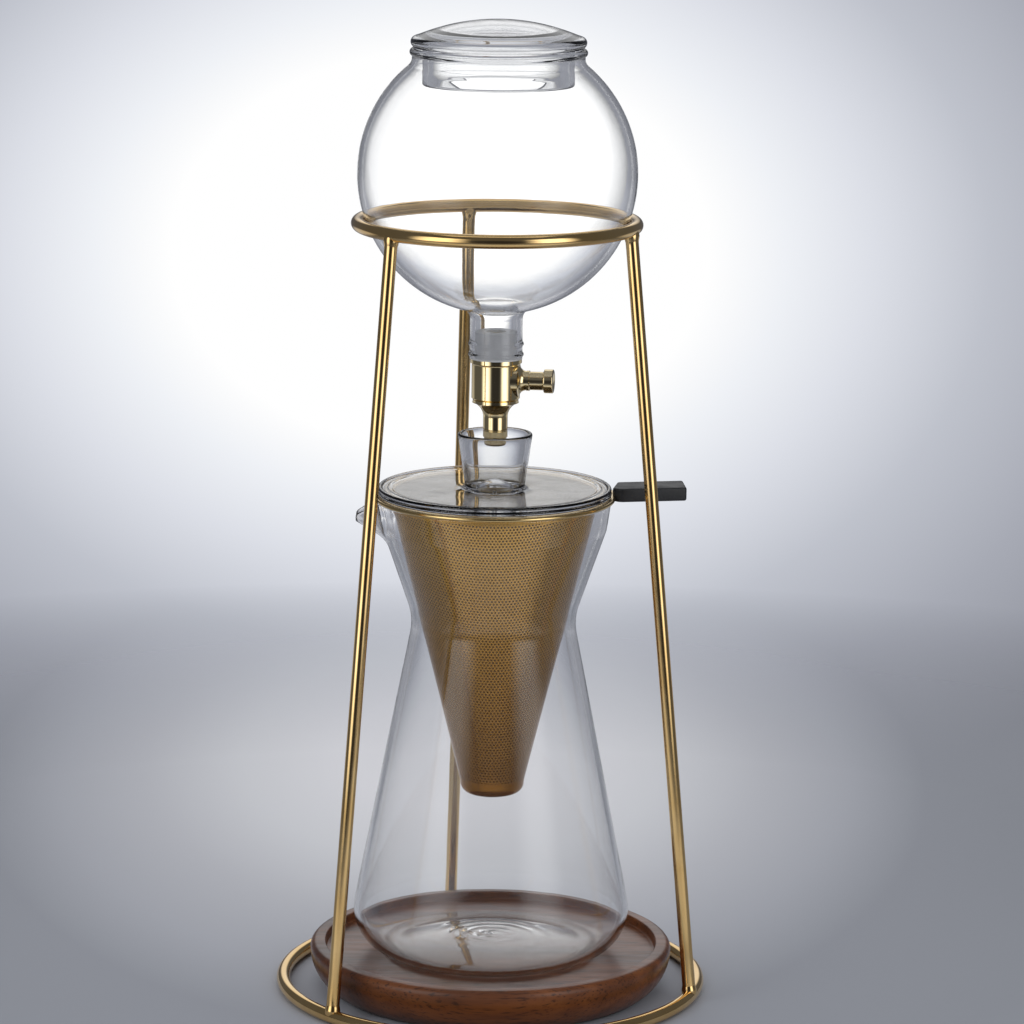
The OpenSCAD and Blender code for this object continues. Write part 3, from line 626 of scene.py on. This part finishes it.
def pulled(r, z, bearing):
    """Radius and height of a point of the wall, once the spout has been pulled out."""
    part = (z - PULL_START) / (RIM_TOP - PULL_START)
    share = min(1.0, max(0.0, (r - wall(z, False)) / (wall(z, True) - wall(z, False))))
    z = PULL_START + part * (rim_height(bearing) - PULL_START)
    inner = larger(wall(z, False), funnel(bearing, z, FUNNEL_IN), FUNNEL_BLEND)
    outer = larger(wall(z, True), funnel(bearing, z, FUNNEL_OUT), FUNNEL_BLEND)
    return inner + (max(outer, inner + THINNEST) - inner) * share, z


for point in carafe.data.vertices:
    x, y, z = (v / MM for v in point.co)
    r = math.hypot(x, y)
    if r < 0.001:
        continue
    if r < RIPPLE_REACH and math.hypot(r, z - HOLLOW_Z) > HOLLOW_R + FLOOR / 2:
        z = broken_ripple(x, y, z)
    bearing = math.atan2(y, -x)
    bearing -= CROWDING * math.sin(bearing)
    side, bearing = (1 if bearing > 0 else -1), abs(bearing)
    if z > PULL_START and bearing < PULL_WIDTH:
        r, z = pulled(r, z, bearing)
    point.co = (-r * math.cos(bearing) * MM, side * r * math.sin(bearing) * MM, z * MM)

bpy.ops.object.mode_set(mode="EDIT")
bpy.ops.mesh.select_all(action="DESELECT")
bpy.ops.object.mode_set(mode="OBJECT")
for point in carafe.data.vertices:
    aside = abs(math.atan2(point.co.y, -point.co.x))
    point.select = point.co.z > SMOOTH_ABOVE and aside < SMOOTH_WIDTH
bpy.ops.object.mode_set(mode="EDIT")
bpy.ops.mesh.vertices_smooth(factor=0.5, repeat=3)
bpy.ops.mesh.select_all(action="SELECT")
bpy.ops.mesh.normals_make_consistent(inside=False)
bpy.ops.object.mode_set(mode="OBJECT")
stands_for(carafe, heavy_glass, "clear_glass", "server", "carafe")

# %% [markdown]
# ## The spreader lid
# A glass plate with a double bead round its edge and a small cup in its middle. The cup's floor has
# a dome and six drip holes round it, which are cut with a Boolean modifier.

# %% Spin the spreader lid and drill its holes
PLATE_LOW, PLATE_TOP = 221.74, 224.14
DOME, DOME_OUT, DOME_IN = (0, 217.84), 10.5, 8.6
CUP_RIM, CUP_RIM_R = (15.241, 247.59), 0.95
DRIP_HOLES, DRIP_HOLE_R, DRIP_CIRCLE = 6, 0.8, 9.69
line = arc(DOME, DOME_OUT, 90, 36.9) + [(10.98, PLATE_TOP), (14.30, 247.72)]
line += arc(CUP_RIM, CUP_RIM_R, 172.3, -7.7) + [(13.17, 226.14)] + arc((15.17, 226.14), 2, 180, 270)
line += [(44.6, PLATE_TOP), (45.2, 224.42), (46.2, 224.42), (46.8, PLATE_TOP)]
line += arc((49.9, 223.85), 1.05, 165, -50, 12) + arc((49.95, 222.2), 1.1, 50, -150, 12)
line += [(47.8, PLATE_LOW)] + arc(DOME, DOME_IN, 27, 90)
spreader = lathe("spreader_glass", thin_out(soften(line, 0.25), 6, 3), 160)
bpy.ops.object.select_all(action="DESELECT")
drills = []
for k in range(DRIP_HOLES):
    a = math.radians(30 + 360 / DRIP_HOLES * k)
    spot = (DRIP_CIRCLE * MM * math.cos(a), DRIP_CIRCLE * MM * math.sin(a), 223 * MM)
    bpy.ops.mesh.primitive_cylinder_add(vertices=20, radius=DRIP_HOLE_R * MM, depth=6 * MM, location=spot)
    drills.append(bpy.context.object)
for drill in drills:
    drill.select_set(True)
bpy.ops.object.join()
drill = bpy.context.object
bpy.ops.object.select_all(action="DESELECT")
bpy.context.view_layer.objects.active = spreader
spreader.select_set(True)
cut = spreader.modifiers.new("holes", "BOOLEAN")
cut.object, cut.operation, cut.solver = drill, "DIFFERENCE", "EXACT"
bpy.ops.object.modifier_apply(modifier="holes")
bpy.data.objects.remove(drill)
stands_for(spreader, pressed_glass, "clear_glass", "spreader", "dripper_lid")

# %% [markdown]
# ## The water bulb and its lid
# A blown globe with a wide filling neck and a narrow lower neck that grips the valve's plug. The
# loose lid has a rolled edge that rests on the neck, a low dome and a skirt that hangs inside.

# %% Blow the bulb
BULB, BULB_R, BULB_WALL, TURN_R = (0, 361.368), 60.4, 1.8, 4
LOW_TURN, HIGH_TURN = (15.4, 298.837), (41.2, 410.865)
low, high = (math.degrees(math.asin(r / (BULB_R + TURN_R))) for r, _ in (LOW_TURN, HIGH_TURN))
line = [(9.2, 282.06)] + arc((10.9, 283.154), 1.1, -90, 60) + [(11.4, 284.9), (11.4, 286.6)]
line += arc((10.9, 287.754), 1.1, -50, 50) + [(11.4, 289.2)] + arc(LOW_TURN, TURN_R, 180, 90 + low)
line += arc(BULB, BULB_R, -90 + low, 90 - high, 2.0) + arc(HIGH_TURN, TURN_R, -90 - high, -180)
line += arc((36.5, 413.565), 1.7, -66, 180) + [(35.4, 413.0)]
line += arc(HIGH_TURN, TURN_R + BULB_WALL, 180, 270 - high)
line += arc(BULB, BULB_R - BULB_WALL, 90 - high, -90 + low, 2.0)
line += arc((15.4, 298.425), 6.2, 90 + low, 180) + [(9.2, 282.06)]
bulb = lathe("blown_bulb", thin_out(soften(line), 4, 3), 160)
stands_for(bulb, thin_glass, "clear_glass", "bulb", "water_bulb")

# %% Press the lid
LID_DOME, LID_IN, LID_WALL = (0, 337.468), 88.134, 2
LID_OUT = LID_IN + LID_WALL
line = arc(LID_DOME, LID_IN, 90, 90 - math.degrees(math.asin(27.5 / LID_IN)), 1.5)
line += arc((27.6, 418.38), 3.0, 60, 0, 6) + arc((31.6, 400.1), 1.0, 180, 360, 12)
line += [(32.6, 415.88)] + arc((35.3, 417.902), 2.5, 205, 435, 6)
line += arc(LID_DOME, LID_OUT, 90 - math.degrees(math.asin(34.6 / LID_OUT)), 90, 1.5)
cover = lathe("pressed_lid", thin_out(soften(line), 4, 3), 160)
stands_for(cover, thin_glass, "clear_glass", "bulb_cover", "bulb_lid")

# %% [markdown]
# ## The filter's cone
# The rolled sheet and the small spun cup at its end read as one form, so they are turned together.

# %% Turn the filter's cone
SHEET, SHEET_TOP = 0.8, 219.75
CUP_CORNER = (9.24, 92.3)


def sheet_r(z, inset=0.0):
    """Radius of the cone at a height, less an inset."""
    return 45.394 - math.tan(CONE_SLOPE) * (219.8 - z) - inset


line = [(0, 87.5)] + arc(CUP_CORNER, 4.8, -90, -8, 6)
line += [(sheet_r(93.4), 93.4), (sheet_r(SHEET_TOP), SHEET_TOP)]
line += [(sheet_r(SHEET_TOP, SHEET), SHEET_TOP), (sheet_r(93.6, SHEET), 93.6)]
line += arc(CUP_CORNER, 3.9, -5, -90, 6) + [(0, 88.4)]
cone = lathe("filter_cone", thin_out(soften(line, 0.25), 6, 6), 192)
stands_for(cone, gilt_sheet, "gilt_sheet", "filter", "filter_shell", "filter_base")

# %% [markdown]
# ## The grip
# A flat bar of black plastic, moulded over the metal strip that comes from the filter's rim. Its nose
# is a blunt wedge, so that it clears the lid. Its outline is drawn as seen from above, filled, and
# pulled up to the bar's thickness, and a Bevel modifier rounds its edges as the mould does.

# %% Mould the grip
GRIP_START, GRIP_LOW, GRIP_TALL, GRIP_TURN = 52.944, 217.8, 6.0, math.radians(10)
line = arc((3.0, -4.2), 4.3, 180, 270, 12) + arc((29.8, -7.3), 1.2, 270, 352, 20)
line += arc((31.4, 7.3), 1.2, 352, 450, 20) + arc((4.6, 6.3), 2.2, 90, 140, 15) + [(-1.2, 1.0)]
grip = draw("moulded_grip", line + [line[0]], lying=True)
bpy.ops.mesh.remove_doubles(threshold=TOUCHING)
bpy.ops.mesh.edge_face_add()
bpy.ops.mesh.extrude_region_move(TRANSFORM_OT_translate={"value": (0, 0, GRIP_TALL * MM)})
bpy.ops.mesh.select_all(action="SELECT")
bpy.ops.mesh.normals_make_consistent(inside=False)
bpy.ops.object.mode_set(mode="OBJECT")
soft_edge = grip.modifiers.new("soft_edge", "BEVEL")
soft_edge.width, soft_edge.segments = 0.9 * MM, 4
soft_edge.limit_method, soft_edge.angle_limit = "ANGLE", math.radians(40)
bpy.ops.object.modifier_apply(modifier="soft_edge")
bpy.ops.object.shade_smooth_by_angle(angle=math.radians(35))
turn = Matrix.Rotation(GRIP_TURN, 4, "Z") @ Matrix.Translation((GRIP_START * MM, 0, GRIP_LOW * MM))
grip.data.transform(turn)
stands_for(grip, black_grip, "black_grip", "filter", "handle_grip")

# %% [markdown]
# ## The studio
# A pale floor that fades into the backdrop a little way off. Its colour carries a painted reflection
# of the backdrop, brightest behind the tower, and a band of painted lamp light in front of the tower.
# Two tall soft boxes stand in front of the tower on its left and right, and a weaker one above. The
# cloth of the tall ones is brightest in the middle and fades towards its edges, so the stripes they
# draw on glass and metal have soft sides. The gap between them, where the camera stands, is what
# draws the dark line down the middle of every polished bar. Glass mirrors the soft boxes, but none is
# seen through it, so that the bulb stays clear from behind as well.

# %% Lay the floor
bpy.ops.object.select_all(action="DESELECT")
bpy.ops.mesh.primitive_circle_add(vertices=96, radius=1.6, fill_type="NGON", location=(0, 0, -0.0002))
floor = bpy.context.object
floor.name = "studio_floor"
floor_paint, floor_shader = new_material("floor_paint")
# Painted reflection: the floor's colour is brightest behind the tower, where the backdrop shines on it, and
# darker outwards.
flat = vector_node(floor_paint, "MULTIPLY", place(floor_paint), (1.0, 0.5, 0))
reach = vector_node(floor_paint, "LENGTH", vector_node(floor_paint, "SUBTRACT", flat, (-0.02, 0.21, 0)))
painted_sheen = ramp(floor_paint, reach, (0.06, (0.80, 0.80, 0.83)), (0.115, (0.69, 0.70, 0.73)),
             (0.165, (0.53, 0.54, 0.58)), (0.21, (0.42, 0.435, 0.48)), (0.25, (0.295, 0.31, 0.35)),
             (0.33, (0.265, 0.28, 0.315)))
# Painted lamp light: a band of the floor in front of the tower is made lighter, as the soft boxes light it.
near = ramp(floor_paint, spread(floor_paint, axes_of(floor_paint)["Y"], -0.10, -0.50, 0.0, 1.0),
            (0.0, (0, 0, 0)), (0.2, (1, 1, 1)), (0.6, (1, 1, 1)), (1.0, (0, 0, 0)))
join(floor_paint, blend(floor_paint, near, painted_sheen, (0.62, 0.62, 0.63)), floor_shader.inputs["Base Color"])
set_all(floor_shader, Roughness=0.7)
gone = spread(floor_paint, vector_node(floor_paint, "LENGTH", place(floor_paint)), 0.42, 0.85, 0.0, 1.0)
mix_surfaces(floor_paint, gone, floor_shader, add(floor_paint, "ShaderNodeBsdfTransparent"))
floor.data.materials.append(floor_paint)


# %% Hang the soft boxes
def soft_cloth(lamp):
    """Lets the light of a soft box fade towards the edges of its cloth."""
    lamp.data.use_nodes = True
    axes = add(lamp.data, "ShaderNodeSeparateXYZ")
    join(lamp.data, add(lamp.data, "ShaderNodeNewGeometry").outputs["Parametric"], axes.inputs["Vector"])
    fades = []
    for axis, fade in (("X", 0.42), ("Y", 0.14)):
        rise = add(lamp.data, "ShaderNodeMapRange", interpolation_type="SMOOTHSTEP", From_Max=fade)
        join(lamp.data, math_node(lamp.data, "PINGPONG", axes.outputs[axis], 0.5), rise.inputs["Value"])
        fades.append(rise.outputs["Result"])
    cloth = lamp.data.node_tree.nodes["Emission"]
    join(lamp.data, math_node(lamp.data, "MULTIPLY", *fades), cloth.inputs["Strength"])


def soft_box(name, azimuth, distance, height, aim_height, width, tall, radiance):
    """A rectangular lamp that looks at the tower's axis; azimuth 0 is in front, and + is to the right."""
    turn = math.radians(azimuth)
    spot = Vector((distance * math.sin(turn), -distance * math.cos(turn), height))
    bpy.ops.object.light_add(type="AREA", location=spot)
    lamp = bpy.context.object
    lamp.name = name
    lamp.data.shape = "RECTANGLE"
    lamp.data.size, lamp.data.size_y = width, tall
    lamp.data.energy = radiance * math.pi * width * tall
    aim = Vector((0, 0, aim_height)) - spot
    lamp.rotation_euler = aim.to_track_quat("-Z", "Y").to_euler()
    lamp.visible_transmission = False
    return lamp


soft_cloth(soft_box("soft_box_left", -46, 0.95, 0.52, 0.52, 0.98, 1.16, 1.9))
soft_cloth(soft_box("soft_box_right", 44, 0.95, 0.52, 0.52, 0.86, 1.16, 1.9))
soft_box("soft_box_top", 180, 0.25, 1.5, 0.2, 1.0, 1.0, 0.7)

# %% [markdown]
# ## The backdrop
# The backdrop is painted in the world, by direction. The camera sees a white glow behind the tower
# that falls off to lavender grey. Metal and glass mirror that glow, with a paler sky above it, a pale
# patch low down on each side and a dim room elsewhere. Through glass the glow and the sky are seen
# brighter than white can show: clear glass swallows some light, and still looks white before a glow.
# Matt surfaces get an even, plain light in place of all this.

# %% Paint the backdrop
world = bpy.data.worlds.new("studio")
scene.world = world
world.use_nodes = True
backdrop = world.node_tree.nodes["Background"]
way = add(world, "ShaderNodeTexCoord").outputs["Generated"]


def toward(px, py):
    """The direction in which the camera sees a pixel of the photograph."""
    middle = PICTURE / 2
    ray = Vector(((px - middle) / FOCAL_PX, (middle - py) / FOCAL_PX, -1))
    return (camera_matrix().to_3x3() @ ray).normalized()


def lobe(direction, wide, tall):
    """1 in a direction and 0 from an ellipse of these half angles, in radians, outwards."""
    off = vector_node(world, "SUBTRACT", way, direction)
    scaled = vector_node(world, "MULTIPLY", off, (1 / wide, 1 / max(wide, tall), 1 / tall))
    far = vector_node(world, "LENGTH", scaled)
    return math_node(world, "SUBTRACT", 1.0, math_node(world, "MINIMUM", far, 1.0))


GLOW_PIXEL, VEIL_PIXEL = (440, 250), (380, 60)
BLACK = (0, 0, 0)
pool = lobe(toward(*GLOW_PIXEL), 0.2214, 0.1616)
glow = ramp(world, pool,
            (0.0, (0.30, 0.31, 0.35)), (0.107, (0.26, 0.27, 0.31)), (0.286, (0.385, 0.40, 0.455)),
            (0.4286, (0.52, 0.54, 0.60)), (0.551, (0.72, 0.74, 0.80)), (0.64, (0.86, 0.88, 0.92)),
            (0.72, (1.0, 1.0, 1.0)))
above = ramp(world, lobe((0, 0.88, 0.47), 0.40, 0.46), (0.0, BLACK), (0.4, (0.96, 0.965, 0.98)))
left = ramp(world, lobe((-0.60, 0.74, -0.30), 0.55, 0.25), (0.0, BLACK), (0.5, (0.55, 0.56, 0.59)))
right = ramp(world, lobe((0.60, 0.74, -0.30), 0.55, 0.25), (0.0, BLACK), (0.5, (0.46, 0.47, 0.50)))
veil = spread(world, lobe(toward(*VEIL_PIXEL), 0.30, 0.21), 0.30, 0.66, 0.0, 1.3)
path = add(world, "ShaderNodeLightPath")

# %% Say who sees what of it
dim = blend(world, spread(world, pool, 0.02, 0.20, 0.0, 1.0), (0.10, 0.105, 0.12), glow)
ahead = vector_node(world, "DOT_PRODUCT", way, (0, -1, 0))
dim = blend(world, spread(world, ahead, 0.88, 0.96, 0.0, 1.0), dim, (0.03, 0.03, 0.035))
sides = vector_node(world, "MAXIMUM", left, right)
sky = vector_node(world, "MAXIMUM", vector_node(world, "MAXIMUM", dim, above), sides)
mirrored = blend(world, path.outputs["Is Glossy Ray"], glow, sky)
lit = vector_node(world, "SCALE", vector_node(world, "MAXIMUM", glow, above))
join(world, spread(world, pool, 0.60, 0.82, 1.0, 1.3), lit.node.inputs["Scale"])
lit = vector_node(world, "MAXIMUM", lit, veil)
through = blend(world, path.outputs["Is Transmission Ray"], mirrored, lit)
plain = blend(world, path.outputs["Is Diffuse Ray"], through, (0.62, 0.625, 0.645))
join(world, plain, backdrop.inputs["Color"])
backdrop.inputs["Strength"].default_value = 1.0
scene.view_settings.view_transform = "Standard"
